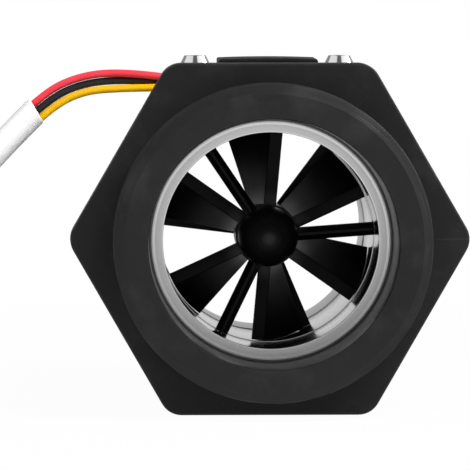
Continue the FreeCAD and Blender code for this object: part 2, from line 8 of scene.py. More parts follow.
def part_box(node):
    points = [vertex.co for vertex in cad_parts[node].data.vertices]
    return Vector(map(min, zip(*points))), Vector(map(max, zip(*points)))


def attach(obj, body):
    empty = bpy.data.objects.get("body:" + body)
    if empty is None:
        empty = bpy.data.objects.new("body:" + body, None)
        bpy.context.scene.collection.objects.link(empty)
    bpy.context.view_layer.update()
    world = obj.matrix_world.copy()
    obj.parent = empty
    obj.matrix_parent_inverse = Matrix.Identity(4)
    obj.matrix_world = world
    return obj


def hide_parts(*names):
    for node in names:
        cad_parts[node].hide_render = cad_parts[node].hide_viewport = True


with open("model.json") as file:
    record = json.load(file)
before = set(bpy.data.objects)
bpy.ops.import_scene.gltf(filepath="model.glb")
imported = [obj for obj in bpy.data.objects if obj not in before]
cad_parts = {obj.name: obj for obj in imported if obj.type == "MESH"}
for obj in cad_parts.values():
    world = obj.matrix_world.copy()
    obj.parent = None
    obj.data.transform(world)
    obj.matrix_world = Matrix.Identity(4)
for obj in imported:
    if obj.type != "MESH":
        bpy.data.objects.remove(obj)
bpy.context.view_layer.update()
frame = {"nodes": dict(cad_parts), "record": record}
mm = 0.001
nodes = frame["nodes"]

# The flow runs along +Y, and everything round is turned about the line through the sleeves
sleeveLow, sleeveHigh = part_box("front_liner")
axisHeight = (sleeveLow.z + sleeveHigh.z) / 2
bodyLow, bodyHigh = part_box("body")
spigotLength = 19.0 * mm
hexagonFace = bodyLow.y + spigotLength
print("frame loaded:", len(nodes), "CAD nodes")


def onAxis(x, y, z):    # a point whose height is measured from the flow axis
    return Vector((x, y, axisHeight + z))


# Node trees

class Value:    # a socket that can stand in sums
    def __init__(self, graph, socket):
        self.graph = graph
        self.socket = socket

    def __getitem__(self, output):    # another output of the same node
        return Value(self.graph, self.socket.node.outputs[output])

    def __add__(self, other):
        return self.graph.math("ADD", self, other)

    def __sub__(self, other):
        return self.graph.math("SUBTRACT", self, other)

    def __rsub__(self, other):
        return self.graph.math("SUBTRACT", other, self)

    def __mul__(self, other):
        return self.graph.math("MULTIPLY", self, other)

    def __truediv__(self, other):
        return self.graph.math("DIVIDE", self, other)

    def __mod__(self, other):
        return self.graph.math("FLOORED_MODULO", self, other)

    def __pow__(self, other):
        return self.graph.math("POWER", self, other)

    __radd__ = __add__
    __rmul__ = __mul__


class Graph:
    def __init__(self, tree):
        self.tree = tree

    def add(self, kind, values=None, output=0, **settings):
        node = self.tree.nodes.new(kind)
        for name, setting in settings.items():
            setattr(node, name, setting)
        for key, value in (values or {}).items():
            self.feed(node.inputs[key], value)
        return Value(self, node.outputs[output] if node.outputs else None)

    def feed(self, socket, value):    # a constant, or a link from another node
        if isinstance(value, Value):
            self.tree.links.new(value.socket, socket)
        else:
            socket.default_value = value

    def shape(self, kind, values=None, **settings):
        return self.add("GeometryNode" + kind, values, **settings)

    def math(self, operation, *values):
        return self.add("ShaderNodeMath", dict(enumerate(values)), operation=operation)

    def split(self, vector):
        return self.add("ShaderNodeSeparateXYZ", {0: vector})

    def join(self, x=0.0, y=0.0, z=0.0):
        return self.add("ShaderNodeCombineXYZ", {0: x, 1: y, 2: z})

    def rise(self, value, start, end, course="LINEAR"):    # 0 at the start, 1 at the end
        return self.add("ShaderNodeMapRange", {"Value": value, "From Min": start, "From Max": end},
                        interpolation_type=course)

    def ramp(self, factor, *stops):
        levels = self.add("ShaderNodeValToRGB", {"Fac": factor})
        elements = levels.socket.node.color_ramp.elements
        while len(elements) < len(stops):
            elements.new(0.5)
        for element, (place, level) in zip(elements, stops):
            element.position = place
            element.color = (level, level, level, 1)
        return levels

    def spread(self, value, low, high):    # 0..1 to low..high
        return low + value * (high - low)

    def blend(self, factor, first, second):
        return self.add("ShaderNodeMix", {0: factor, 6: first, 7: second}, data_type="RGBA")[2]

    def noise(self, vector, scale, detail=3.0, roughness=0.5):
        return self.add("ShaderNodeTexNoise", {"Vector": vector, "Scale": scale, "Detail": detail,
                                               "Roughness": roughness})


def emptyGraph(owner):    # the cleared node tree of a material or a world
    owner.use_nodes = True
    owner.node_tree.nodes.clear()
    return Graph(owner.node_tree)


# Finishes

plasticIor = 1.5
metalIor = 2.5
patterns = {    # scale, detail and roughness of each noise
    "nylonCloud": (60.0, 4.0, 0.55), "nylonFlow": (420.0, 3.0, 0.6), "nylonGrain": (5200.0, 2.0),
    "nylonSpeck": (2600.0, 1.0), "nylonScuff": (95.0, 5.0, 0.62), "steelCloud": (140.0,),
    "plateCloud": (700.0, 4.0, 0.6), "vinylCloud": (180.0,), "vinylDrag": (2400.0, 3.0, 0.6),
    "rubberDust": (900.0, 5.0, 0.65), "rubberSkin": (6000.0, 2.0), "brassTarnish": (500.0,),
    "maskWeave": (1500.0,), "resinCloud": (260.0, 4.0, 0.6), "resinGrain": (4200.0, 2.0),
}


def colour(level):    # one grey or three parts, as a shader colour
    parts = (level, level, level) if isinstance(level, float) else level
    return (*parts, 1.0)


class Finish:    # a material whose constants sit on the shader and whose changes come from nodes
    def __init__(self, name, **constants):
        self.material = bpy.data.materials.new(name)
        self.graph = emptyGraph(self.material)
        self.surface = self.graph.add("ShaderNodeBsdfPrincipled")
        self.graph.add("ShaderNodeOutputMaterial", {"Surface": self.surface})
        self.place = self.graph.add("ShaderNodeTexCoord", output="Object")
        for key, value in constants.items():
            self.set(key.replace("_", " "), value)

    def set(self, key, value):
        self.graph.feed(self.surface.socket.node.inputs[key], value)

    def pattern(self, name):
        return self.graph.noise(self.place, *patterns[name])

    def shade(self, factor, look):
        return self.graph.blend(factor, colour(look["dark"]), colour(look["light"]))

    def make(self, shade, roughness, height, strength, distance=0.04):    # distance in mm
        self.set("Base Color", shade)
        self.set("Roughness", roughness)
        self.set("Normal", self.graph.add("ShaderNodeBump", {"Height": height, "Strength": strength,
                                                             "Distance": distance * mm}))
        return self.material

    def fromAxis(self):    # the place along the flow, up and across from the axis, and its radius
        split = self.graph.split(self.place)
        up = split["Z"] - axisHeight
        across = split["X"]
        return split["Y"], up, across, (across * across + up * up) ** 0.5

    def outside(self, radius, blur=0.2):    # 1 beyond a radius, 0 within it
        return self.graph.rise(self.fromAxis()[3], radius * mm, (radius + blur) * mm)

    def seam(self, start, width):    # a fine line level with the flow axis, on its right
        along, up, across, out = self.fromAxis()
        near = self.graph.rise(self.graph.math("ABSOLUTE", up), width * mm, width * 0.4 * mm)
        return near * self.graph.math("GREATER_THAN", across, start * mm)

    def around(self, marks):    # coordinates of marks that run round the flow axis
        along, up, across, out = self.fromAxis()
        turn = self.graph.math("ARCTAN2", up, across)
        return self.graph.join(turn * 0.35, along * marks, out * marks)


def mouldedPlastic(name, look):
    finish = Finish(name, IOR=plasticIor, Specular_IOR_Level=look["gloss"])
    graph = finish.graph
    flow = finish.pattern("nylonFlow")
    tone = finish.pattern("nylonCloud") * 0.6 + flow * 0.4
    speck = graph.ramp(finish.pattern("nylonSpeck"), (0.66, 0.0), (0.74, 1.0))
    scuff = graph.ramp(finish.pattern("nylonScuff"), (0.52, 0.0), (0.72, 1.0))
    seam = finish.seam(look["seamStart"], look["seamWidth"]) if "seamStart" in look else 0.0
    shade = finish.shade(graph.ramp(tone, (0.3, 0.0), (0.7, 1.0)), look)
    shade = graph.blend(scuff * look["scuff"] + seam * 0.5, shade, colour(look["scuffColour"]))
    shade = graph.blend(speck * look["fibre"], shade, colour(look["fibreColour"]))
    rough = graph.spread(tone, look["roughness"] - 0.07, look["roughness"] + 0.07)
    if "boreEnd" in look:    # the bore's mouth is smoother
        rough = rough - (1.0 - finish.outside(look["boreEnd"])) * look["borePolish"]
    height = finish.pattern("nylonGrain") * 0.5 + flow * 0.9 + seam * 2.0
    return finish.make(shade, rough, height, look["grain"], 0.06)


def turnedSteel(name, look):
    finish = Finish(name, IOR=metalIor, Metallic=1.0, Specular_Tint=colour(look["edge"]))
    graph = finish.graph
    lines = graph.noise(finish.around(look["marks"]), 1.0, 4.0, 0.7)
    cloud = finish.pattern("steelCloud")
    face = finish.outside(look["faceStart"])
    rear = graph.math("GREATER_THAN", finish.fromAxis()[0], look["rearStart"] * mm)
    shade = finish.shade(lines * 0.6 + cloud * 0.4, look)
    # painted light: the lip face beyond faceStart is coloured lighter than the bore, a painted
    # brightening of the same steel
    shade = graph.blend(face * look["faceLift"], shade, colour(1.0))
    rough = graph.spread(lines * 0.7 + cloud * 0.3, look["smooth"], look["rough"])
    rough = rough + (face * look["faceDull"] + rear * look["rearDull"])
    return finish.make(shade, rough, lines, look["depth"], 0.03)


def platedMetal(name, look):
    finish = Finish(name, IOR=metalIor, Metallic=1.0)
    graph = finish.graph
    cloud = finish.pattern("plateCloud")
    streak = graph.noise(graph.add("ShaderNodeMapping", {"Vector": finish.place,
                                                         "Scale": (300.0, 300.0, 4200.0)}), 1.0)
    rough = graph.spread(cloud * 0.5 + streak * 0.5, look["smooth"], look["rough"])
    return finish.make(finish.shade(cloud, look), rough, streak, 0.12, 0.03)


def softVinyl(name, look):
    finish = Finish(name, IOR=plasticIor, Specular_IOR_Level=look["gloss"], Coat_Roughness=0.25)
    cloud = finish.pattern("vinylCloud")
    drag = finish.pattern("vinylDrag")
    finish.set("Coat Weight", finish.graph.spread(cloud, 0.0, look["coat"]))
    rough = finish.graph.spread(drag, look["roughness"] - 0.08, look["roughness"] + 0.08)
    return finish.make(finish.shade(cloud, look), rough, drag, 0.05)


def rubber(name, look):
    finish = Finish(name, IOR=plasticIor, Specular_IOR_Level=0.25)
    dust = finish.pattern("rubberDust")
    shade = finish.shade(finish.graph.ramp(dust, (0.45, 0.0), (0.75, 1.0)), look)
    rough = finish.graph.spread(dust, 0.55, 0.8)
    return finish.make(shade, rough, finish.pattern("rubberSkin"), 0.3)


def knurledBrass(name, look):
    finish = Finish(name, IOR=metalIor, Metallic=1.0)
    split = finish.graph.split(finish.place)
    halfRidge = 0.25 * mm
    ridge = finish.graph.math("PINGPONG", split["Y"] + split["Z"] * 0.5, halfRidge) / halfRidge
    tarnish = finish.pattern("brassTarnish")
    rough = finish.graph.spread(tarnish, 0.22, 0.42)
    return finish.make(finish.shade(tarnish, look), rough, ridge, 0.5, 0.15)


def solderMask(name, look):
    finish = Finish(name, IOR=plasticIor, Specular_IOR_Level=0.5)
    grid = finish.graph.add("ShaderNodeTexBrick", {
        "Vector": finish.place, "Scale": 900.0, "Mortar Size": 0.09, "Color1": colour(0.0),
        "Color2": colour(0.0), "Mortar": colour(1.0)}, offset=0.35)
    rough = finish.graph.spread(finish.pattern("maskWeave"), 0.22, 0.4)
    return finish.make(finish.shade(grid, look), rough, grid, 0.3)


def resin(name, look):
    finish = Finish(name, IOR=plasticIor, Specular_IOR_Level=look["gloss"])
    graph = finish.graph
    cloud = finish.pattern("resinCloud")
    shade = finish.shade(cloud, look)
    if "mark" in look:    # a painted highlight spot on the flow axis, lighter colour where the nose tip's glint falls, and a polish round the blade roots
        out = finish.fromAxis()[3]
        mark = graph.rise(out, look["mark"] * mm, look["mark"] / 2 * mm)
        shade = graph.blend(mark, shade, colour(look["markColour"]))
        root = graph.rise(out, look["rootEnd"] * mm, look["rootStart"] * mm, "SMOOTHSTEP")
        finish.set("Coat Weight", root * look["rootCoat"])
        finish.set("Coat Roughness", look["coatRough"])
    rough = graph.spread(cloud, look["roughness"] - 0.06, look["roughness"] + 0.08)
    return finish.make(shade, rough, finish.pattern("resinGrain"), look["grain"])


bodyLook = {"dark": 0.0085, "light": 0.0135, "fibre": 0.2, "fibreColour": 0.035, "roughness": 0.56,
            "gloss": 0.25, "grain": 0.35, "boreEnd": 23.5, "borePolish": 0.24, "scuff": 0.55,
            "scuffColour": 0.03, "seamStart": 31.4, "seamWidth": 0.16}
coverLook = {"dark": 0.0065, "light": 0.0105, "fibre": 0.2, "fibreColour": 0.035, "roughness": 0.62,
             "gloss": 0.2, "grain": 0.3, "scuff": 0.15, "scuffColour": 0.02}
# The lighter spot on the flow axis in the two acetal finishes is a painted highlight.
rotorFinish = {"dark": 0.0034, "light": 0.0058, "roughness": 0.42, "gloss": 0.09, "grain": 0.15,
               "coatRough": 0.36, "rootStart": 5.0, "rootEnd": 9.6, "rootCoat": 0.6,
               "mark": 0.5, "markColour": 0.01}
spiderFinish = {"dark": 0.0026, "light": 0.0046, "roughness": 0.4, "gloss": 0.12, "grain": 0.15,
                "coatRough": 0.4, "rootStart": 1.0, "rootEnd": 1.5, "rootCoat": 0.3,
                "mark": 1.0, "markColour": 0.014}
steelLook = {"dark": 0.56, "light": 0.70, "edge": 0.72, "smooth": 0.15, "rough": 0.25, "depth": 0.25,
             "marks": 5200.0, "faceStart": 20.5, "faceDull": 0.24, "faceLift": 0.26,
             "rearStart": 15.5, "rearDull": 0.12}
finishes = {
    "body_plastic": mouldedPlastic("moulded nylon", bodyLook),
    "cover_plastic": mouldedPlastic("cover nylon", coverLook),
    "spider_plastic": resin("black acetal", spiderFinish),
    "rotor_plastic": resin("rotor acetal", rotorFinish),
    "liner_steel": turnedSteel("turned steel sleeve", steelLook),
    "shaft_steel": turnedSteel("ground steel pin", {**steelLook, "dark": 0.5, "light": 0.6}),
}
finishTables = (
    (platedMetal, "dark light smooth rough", {
        "screw_steel": ("plated screw", 0.80, 0.88, 0.06, 0.14),
        "magnet_nickel": ("nickel plate", 0.5, 0.62, 0.14, 0.3),
        "terminal_tin": ("tinned contact", 0.55, 0.68, 0.25, 0.42)}),
    (resin, "dark light roughness gloss grain", {
        "chip_black": ("chip case", 0.015, 0.025, 0.5, 0.3, 0.2),
        "chip_grey": ("ceramic chip", 0.22, 0.34, 0.45, 0.4, 0.2),
        "bearing_graphite": ("graphite sleeve", 0.03, 0.06, 0.42, 0.5, 0.25),
        "washer_plastic": ("white washer", 0.72, 0.8, 0.35, 0.4, 0.1),
        "plug_nylon": ("natural nylon", (0.70, 0.68, 0.61), (0.80, 0.78, 0.72), 0.42, 0.4, 0.15)}),
    (softVinyl, "dark light roughness gloss coat", {
        "red_insulation": ("red insulation", (0.78, 0.03, 0.05), (0.88, 0.06, 0.085), 0.38, 0.4, 0.2),
        "black_insulation": ("black insulation", 0.008, 0.016, 0.38, 0.4, 0.2),
        "yellow_insulation": ("yellow insulation", (0.80, 0.41, 0.001), (0.90, 0.49, 0.003),
                              0.38, 0.25, 0.2),
        "white_jacket": ("white jacket", 0.90, 0.93, 0.42, 0.4, 0.15),
        "lead_insulation": ("inner leads", (0.25, 0.03, 0.03), (0.35, 0.05, 0.05), 0.4, 0.4, 0.1)}),
    (rubber, "dark light", {
        "gasket_rubber": ("sheet rubber", 0.008, 0.02),
        "grommet_rubber": ("moulded rubber", 0.008, 0.018),
        "seal_rubber": ("seal rubber", 0.007, 0.014)}),
    (knurledBrass, "dark light", {
        "insert_brass": ("knurled brass", (0.66, 0.45, 0.16), (0.80, 0.60, 0.26))}),
    (solderMask, "dark light", {
        "board_laminate": ("solder mask", (0.012, 0.12, 0.045), (0.03, 0.23, 0.09))}),
)
for makeFinish, valueNames, rows in finishTables:
    for slot, (name, *values) in rows.items():
        finishes[slot] = makeFinish(name, dict(zip(valueNames.split(), values)))
slotOf = {part["node"]: part["material_slot"] for part in frame["record"]["subparts"]}
for nodeName, node in nodes.items():
    node.data.materials.clear()
    node.data.materials.append(finishes[slotOf[nodeName]])
print("finishes made:", len(finishes))


# Mesh helpers

def newObject(name, data):
    piece = bpy.data.objects.new(name, data)
    bpy.context.scene.collection.objects.link(piece)
    return piece


def dress(piece, body, slot, replaced=(), sharpAngle=38):    # finish, shading and place in the frame
    piece.data.materials.clear()
    piece.data.materials.append(finishes[slot])
    if piece.type == "MESH":
        piece.data.shade_smooth()
        piece.data.set_sharp_from_angle(angle=math.radians(sharpAngle))
    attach(piece, body)
    if replaced:
        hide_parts(*replaced)


def meshObject(name, bm, turnOut=True):
    if turnOut:
        bmesh.ops.recalc_face_normals(bm, faces=bm.faces)
    mesh = bpy.data.meshes.new(name)
    bm.to_mesh(mesh)
    bm.free()
    return newObject(name, mesh)


def roundedOutline(corners, steps=6):    # (across, along, rounding) corners of a closed outline
    outline = []
    count = len(corners)
    for index, (across, along, rounding) in enumerate(corners):
        corner = Vector((across, along))
        if rounding == 0:
            outline.append(corner)
            continue
        back = (Vector(corners[index - 1][:2]) - corner).normalized()
        ahead = (Vector(corners[(index + 1) % count][:2]) - corner).normalized()
        half = back.angle(ahead) / 2
        centre = corner + (back + ahead).normalized() * (rounding / math.sin(half))
        start = corner + back * (rounding / math.tan(half)) - centre
        end = corner + ahead * (rounding / math.tan(half)) - centre
        sweep = start.angle(end)
        for step in range(steps + 1):
            share = step / steps
            arm = start * math.sin((1 - share) * sweep) + end * math.sin(share * sweep)
            outline.append(centre + arm / math.sin(sweep))
    return outline


def turnOutline(outline, segments, closed=True):    # (radius, y) points turned about the flow
    bm = bmesh.new()
    rings = []
    for radius, y in outline:
        if radius < 1e-7:
            rings.append([bm.verts.new(onAxis(0, y, 0))])
            continue
        turns = [2 * math.pi * k / segments for k in range(segments)]
        rings.append([bm.verts.new(onAxis(radius * math.cos(t), y, radius * math.sin(t)))
                      for t in turns])
    pairs = list(zip(rings, rings[1:]))
    if closed:
        pairs.append((rings[-1], rings[0]))
    for first, second in pairs:
        for k in range(segments):
            after = (k + 1) % segments
            corners = [first[k % len(first)], first[after % len(first)],
                       second[after % len(second)], second[k % len(second)]]
            distinct = list(dict.fromkeys(corners))
            if len(distinct) > 2:
                bm.faces.new(distinct)
    return bm


# Camera

cameraLook = {"azimuth": -1.98, "elevation": 3.10, "lens": 512.7, "distance": 1263.3 * mm,
              "aimRight": -6.66 * mm, "aimUp": 0.865 * mm, "sensor": 36, "clip": (0.05, 60)}


def makeCamera():
    azimuth = math.radians(cameraLook["azimuth"])
    elevation = math.radians(cameraLook["elevation"])
    back = Vector((math.sin(azimuth) * math.cos(elevation), -math.cos(azimuth) * math.cos(elevation),
                   math.sin(elevation)))
    right = Vector((0, 0, 1)).cross(back).normalized()
    up = back.cross(right)
    aim = onAxis(0, hexagonFace, 0) + right * cameraLook["aimRight"] + up * cameraLook["aimUp"]
    lens = bpy.data.cameras.new("camera")
    lens.lens = cameraLook["lens"]
    lens.sensor_width = cameraLook["sensor"]
    lens.clip_start, lens.clip_end = cameraLook["clip"]
    camera = newObject("camera", lens)
    camera.location = aim + back * cameraLook["distance"]
    camera.rotation_mode = "QUATERNION"
    camera.rotation_quaternion = (-back).to_track_quat("-Z", "Y")
    bpy.context.scene.camera = camera


makeCamera()


# Wires, cable and plug

cableLook = {
    "wireRadius": 0.74, "jacketRadius": 2.6, "jacketSides": 28, "mouthRadius": 2.2, "mouthDepth": 6.0,
    "mouthRound": 0.5, "mouthLean": 0.25, "edgeSteps": 5, "coilCentre": (-92.4, 30.1),
    "outerTurn": 31.0, "innerTurn": 25.7, "coilStart": 225, "coilSweep": 400, "inwardFrom": 260,
    "inwardSweep": 85, "coilEnd": [(-21.5, 10.5), (-16.0, 17.6), (-6.0, 18.4)], "pointsPerTurn": 16,
    "tailHeading": -8.0, "tailSpacing": 1.45, "tailStraight": 8, "tailBend": (9.4, 13.0),
    "tailFan": (2.3, 1.4), "plugBack": (9.0, -5.0, 2.875), "plugPitch": 2.5, "plugEntry": 1.2,
    "jacketLength": 0.336,
    "wireLengths": {"red": 0.0345, "black": 0.0333, "yellow": 0.0321},
    "tailLengths": {"red": 0.0378, "black": 0.0348, "yellow": 0.0318},
}


def metres(points):
    return [Vector(point) * mm for point in points]


def routeCurve(name, points, depth=0.0):    # smooth line with the route's points as its control points
    curve = bpy.data.curves.new(name, "CURVE")
    curve.dimensions = "3D"
    curve.resolution_u = 10
    curve.bevel_depth = depth
    curve.bevel_resolution = 5
    curve.use_fill_caps = True
    spline = curve.splines.new("NURBS")
    spline.points.add(len(points) - 1)
    for knot, point in zip(spline.points, points):
        knot.co = (*point, 1)
    spline.order_u = 3
    spline.use_endpoint_u = True
    return newObject(name, curve)


def routeLine(points):    # places along the route's smooth line
    carrier = routeCurve("route", points)
    shown = carrier.evaluated_get(bpy.context.evaluated_depsgraph_get())
    line = bpy.data.meshes.new_from_object(shown)
    places = [vertex.co.copy() for vertex in line.vertices]
    bpy.data.objects.remove(carrier)
    return places


wireRoutes = {
    "wire_red": [(-18.6, -10.95, 63.2), (-28.4, -10.7, 64.55), (-37.9, -10.5, 62.95),
                 (-44.365, -10.4, 58.636), (-49.668, -10.4, 53.333)],
    "wire_black": [(-18.6, -9.75, 62.25), (-27.6, -10.0, 62.95), (-36.8, -10.3, 61.75),
                   (-43.339, -10.4, 57.611), (-48.643, -10.4, 52.307)],
    "wire_yellow": [(-18.6, -10.95, 61.3), (-27.2, -10.7, 61.25), (-35.7, -10.5, 60.55),
                    (-42.314, -10.4, 56.586), (-47.617, -10.4, 51.282)],
}
jacketRoute = [(-44.4, -10.4, 56.55), (-53.3, -10.4, 47.65), (-64.2, -10.4, 34.6),
               (-75.0, -10.0, 20.3), (-85.4, -8.9, 10.9), (-96.3, -5.5, 5.0), (-106.5, 0.4, 2.6),
               (-114.3, 8.2, 2.6)]


def coilRoute():    # one turn outside, then inside it, and off to the middle of the coil
    look = cableLook
    centreX, centreY = look["coilCentre"]
    outer, inner = look["outerTurn"], look["innerTurn"]
    step = 360 / look["pointsPerTurn"]
    lift = 2 / (1 + math.cos(math.radians(step)))    # the line lies inside its control points
    places = []
    travelled = step / 2
    while travelled < look["coilSweep"]:
        share = min(max((travelled - look["inwardFrom"]) / look["inwardSweep"], 0), 1)
        share = share * share * (3 - 2 * share)
        radius = (outer + (inner - outer) * share) * (1 + (lift - 1) / 2)
        angle = math.radians(look["coilStart"] - travelled)
        places.append((radius * math.cos(angle), radius * math.sin(angle)))
        travelled += step
    return [(centreX + x, centreY + y, look["jacketRadius"]) for x, y in places + look["coilEnd"]]


def tubeRings(bm, line, radius, sides):    # rings round a line that don't twist
    steps = [(b - a).normalized() for a, b in zip(line, line[1:])]
    middles = [(a + b).normalized() for a, b in zip(steps, steps[1:])]
    tangents = [steps[0], *middles, steps[-1]]
    normal = Vector((0, 1, 0)).cross(tangents[0]).normalized()
    rings = []
    for place, before, tangent in zip(line, tangents[:1] + tangents, tangents):
        normal = before.rotation_difference(tangent) @ normal
        normal = (normal - tangent * normal.dot(tangent)).normalized()
        side = tangent.cross(normal)
        rings.append([bm.verts.new(place + (normal * math.cos(t) + side * math.sin(t)) * radius)
                      for t in [2 * math.pi * k / sides for k in range(sides)]])
    return rings, tangents


def joinRings(bm, rings):
    for first, second in zip(rings, rings[1:]):
        for k in range(len(first)):
            after = (k + 1) % len(first)
            bm.faces.new((first[k], first[after], second[after], second[k]))


def ringCopy(bm, ring, centre, scale, shift):    # a ring's copy, larger or smaller and moved along
    return [bm.verts.new(centre + (vertex.co - centre) * scale + shift) for vertex in ring]


def makeJacket():
    look = cableLook
    line = routeLine(metres(jacketRoute + coilRoute()))
    radius = look["jacketRadius"] * mm
    rounding = look["mouthRound"] * mm
    turns = [math.pi / 2 * step / look["edgeSteps"] for step in range(look["edgeSteps"] + 1)]
    bm = bmesh.new()
    rings, tangents = tubeRings(bm, line, radius, look["jacketSides"])
    start, ahead = line[0], tangents[0]
    lip = [ringCopy(bm, rings[0], start, 1 - (1 - math.sin(turn)) * rounding / radius,
                    ahead * rounding * (1 - math.cos(turn))) for turn in turns]
    for vertex in rings[0]:    # the tube begins just past its lip
        vertex.co += ahead * rounding * 1.2
    narrowing = look["mouthRadius"] * mm / (lip[0][0].co - start).length
    depth = ahead * look["mouthDepth"] * mm
    bore = [ringCopy(bm, lip[0], start, narrowing, shift) for shift in (ahead * rounding * 0.4, depth)]
    bottom = ringCopy(bm, bore[1], start + depth, 0.02, Vector())    # nearly a point
    joinRings(bm, [bottom, bore[1], bore[0]] + lip + rings)
    up = Vector((0, 1, 0)).cross(ahead)
    for ring in [rings[0], bore[0]] + lip:    # the end is cut a little aslant
        for vertex in ring:
            vertex.co -= ahead * ((vertex.co - start).dot(up) + radius) * look["mouthLean"]
    end, onward = line[-1], tangents[-1]
    cap = [ringCopy(bm, rings[-1], end, 1 - (1 - math.cos(turn)) * rounding / radius,
                    onward * rounding * math.sin(turn)) for turn in turns[1:]]
    joinRings(bm, [rings[-1]] + cap)
    bm.faces.new(cap[-1])
    bm.faces.new(list(reversed(bottom)))
    jacket = meshObject("cableJacket", bm)
    dress(jacket, "meter", "white_jacket", ("cable_jacket", "cable_coil"))
    return jacket, line


def makeTails():    # side by side from the jacket's far end to the back of the plug
    look = cableLook
    centre = Vector((*look["coilCentre"], 0))
    stubEnd = centre + Vector((*look["coilEnd"][-1], look["jacketRadius"]))
    turn = math.radians(look["tailHeading"])
    heading = Vector((math.cos(turn), math.sin(turn), 0))
    across = Vector((-heading.y, heading.x, 0))
    plugBack = centre + Vector(look["plugBack"])
    straight = look["tailStraight"]
    tails = []
    for name, place in (("tail_red", 1), ("tail_black", 0), ("tail_yellow", -1)):
        start = stubEnd + across * look["tailSpacing"] * place
        end = plugBack + Vector((look["plugPitch"] * place, -look["plugEntry"], 0))
        bendX, bendY = [middle + fan * place for middle, fan in zip(look["tailBend"], look["tailFan"])]
        bend = centre + Vector((bendX, bendY, (start.z + end.z) / 2))
        points = [start, start + heading * straight, bend, end + Vector((0, straight, 0)), end]
        tails.append((name, metres(points)))
    return tails


def makeWire(nodeName, route):    # named after its node, as wireRed is after wire_red
    kind, tint = nodeName.split("_")
    wire = routeCurve(kind + tint.capitalize(), route, cableLook["wireRadius"] * mm)
    dress(wire, "meter", tint + "_insulation", (nodeName,))
    return wire, tint


def makeCables():
    jacket, line = makeJacket()
    for nodeName, route in wireRoutes.items():
        wire, tint = makeWire(nodeName, metres(route))
    for nodeName, route in makeTails():
        tail, tint = makeWire(nodeName, route)


makeCables()
print("cables made")


# Body

bodySteps = {"threadCrest": 29.80, "threadDepth": 1.479, "pitch": 2.309, "threadStart": 0.556,
             "threadFlat": 0.1, "leadRadius": 28.0, "leadSlope": 1.7, "boreFront": 23.4,
             "boreBack": 22.88, "faceRound": 0.2, "boreRound": 0.4, "fadeLength": 2.6,
             "rowStep": 0.125, "boreSteps": 8, "segments": 240}


def makeBodyCore():    # the moulding between the two threaded ends
    bm = bmesh.new()
    bm.from_mesh(nodes["body"].data)
    bmesh.ops.remove_doubles(bm, verts=bm.verts, dist=1e-6)
    slack = 1e-5
    for side, face in ((-1, hexagonFace), (1, bodyHigh.y - spigotLength)):
        bmesh.ops.bisect_plane(bm, geom=bm.verts[:] + bm.edges[:] + bm.faces[:], dist=slack,
                               plane_co=(0, face, 0), plane_no=(0, side, 0), clear_outer=True)
        rim = [edge for edge in bm.edges if edge.is_boundary
               and all(abs(vertex.co.y - face) < slack for vertex in edge.verts)]
        bmesh.ops.bridge_loops(bm, edges=rim)
    core = meshObject("bodyCore", bm, turnOut=False)
    core.data.shade_smooth()
    core.data.set_sharp_from_angle(angle=math.radians(40))
    weighting = core.modifiers.new("weighting", "WEIGHTED_NORMAL")
    weighting.keep_sharp = True
    settle(core, "meter", "body_plastic", ("body",), 40, turnOut=False)


def settle(piece, body, slot, replaced=(), sharpAngle=38, turnOut=True):    # modifiers become mesh
    bpy.context.view_layer.update()
    shown = piece.evaluated_get(bpy.context.evaluated_depsgraph_get())
    result = bpy.data.meshes.new_from_object(shown)
    piece.modifiers.clear()
    piece.data = result
    dress(piece, body, slot, replaced, sharpAngle)
    if turnOut:
        bm = bmesh.new()
        bm.from_mesh(result)
        bmesh.ops.recalc_face_normals(bm, faces=bm.faces)
        bm.to_mesh(result)
        bm.free()


# Geometry Nodes

seamGap = 2e-6    # points nearer than this are closed into one


def startTree(name, **inputs):    # a tree with named inputs, by kind
    tree = bpy.data.node_groups.new(name, "GeometryNodeTree")
    for kind, labels in {**inputs, "Material": "Material"}.items():
        for label in labels.split(","):
            tree.interface.new_socket(label, in_out="INPUT", socket_type="NodeSocket" + kind)
    tree.interface.new_socket("Geometry", in_out="OUTPUT", socket_type="NodeSocketGeometry")
    graph = Graph(tree)
    return graph, graph.add("NodeGroupInput")


def endTree(graph, entry, geometry):    # instances become mesh and take the finish
    solid = graph.shape("RealizeInstances", {"Geometry": geometry})
    coated = graph.shape("SetMaterial", {"Geometry": solid, "Material": entry["Material"]})
    graph.add("NodeGroupOutput", {"Geometry": coated})
    return graph.tree


def growFrom(tree, name, slot, settings):    # the tree's result as an object with a live modifier
    settings = {**settings, "Axis Height": axisHeight, "Material": finishes[slot]}
    piece = newObject(name, bpy.data.meshes.new(name))
    modifier = piece.modifiers.new(name, "NODES")
    modifier.node_group = tree
    for item in tree.interface.items_tree:
        if item.in_out == "INPUT" and item.name in settings:
            modifier[item.identifier] = settings[item.name]
    return piece


def outlineObject(name, outline):    # an outline's points, for a tree to read
    mesh = bpy.data.meshes.new(name)
    mesh.from_pydata([(across, along, 0) for across, along in outline], [], [])
    carrier = newObject(name, mesh)
    carrier.hide_render = True
    return carrier


def turnedGrid(graph, entry):    # grid with one column for each step of the turn
    rows, segments = entry["Rows"], entry["Segments"]
    grid = graph.shape("MeshGrid", {"Vertices X": segments + 1, "Vertices Y": rows})
    index = graph.shape("InputIndex")
    row = index % rows
    column = (index - row) / rows
    points = graph.shape("ObjectInfo", {"Object": entry["Outline"]})["Geometry"]
    place = graph.shape("InputPosition")
    sample = graph.shape("SampleIndex", {"Geometry": points, "Value": place, "Index": row},
                         data_type="FLOAT_VECTOR", domain="POINT")
    split = graph.split(sample)
    turn = column / segments * (2 * math.pi)
    return grid, row, split["X"], split["Y"], turn


def bendGrid(graph, grid, place):    # the grid at its places, its seam and poles closed
    bent = graph.shape("SetPosition", {"Geometry": grid, "Position": place})
    return graph.shape("MergeByDistance", {"Geometry": bent, "Distance": seamGap})


